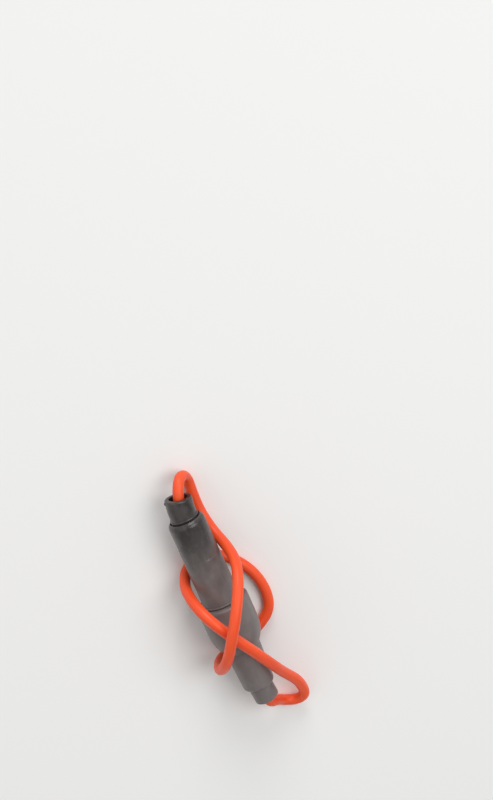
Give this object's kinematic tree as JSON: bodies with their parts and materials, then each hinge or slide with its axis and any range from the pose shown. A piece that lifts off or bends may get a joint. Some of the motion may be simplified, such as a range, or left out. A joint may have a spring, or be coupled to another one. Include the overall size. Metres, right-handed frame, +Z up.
{
  "type": "fuse holder",
  "caption": "In-line rubber fuse holder: a plug half pushes into a socket half over a glass tube fuse held in brass clips, with an uncut loop of insulated lead wire from end to end.",
  "frame": {"origin": "middle of the rubber body, on its axis, leaving out the lead wire", "axes": "+X along the body from the plug half to the socket half, +Z up from the surface it lies on, +Y across"},
  "size_m": [0.0763, 0.0224, 0.0245],
  "materials": {
    "body_rubber": "satin",
    "contact_brass": "satin",
    "strand_copper": "satin",
    "fuse_glass": "polished",
    "fuse_element": "satin",
    "cap_nickel": "polished",
    "solder": "satin",
    "wire_insulation": "satin"
  },
  "bodies": {
    "plug_half": {"plug_housing": "body_rubber", "plug_contact": "contact_brass", "plug_strands": "strand_copper", "lead_wire": "wire_insulation"},
    "socket_half": {"socket_housing": "body_rubber", "socket_contact": "contact_brass", "socket_strands": "strand_copper"},
    "fuse": {"fuse_glass": "fuse_glass", "fuse_element": "fuse_element", "fuse_cap_plug_end": "cap_nickel", "fuse_cap_socket_end": "cap_nickel", "fuse_solder_plug_end": "solder", "fuse_solder_socket_end": "solder"}
  },
  "joints": [
    {"name": "pull_apart", "type": "slide", "parent": "plug_half", "child": "socket_half", "axis": [1, 0, 0], "range_m": [0, 0.034], "deforming": ["lead_wire"]},
    {"name": "fuse_slide", "type": "slide", "parent": "plug_half", "child": "fuse", "axis": [1, 0, 0], "range_m": [0, 0.0102]}
  ],
  "couplings": [
    {"joint": "fuse_slide", "follows": "pull_apart", "ratio": 0.3}
  ]
}
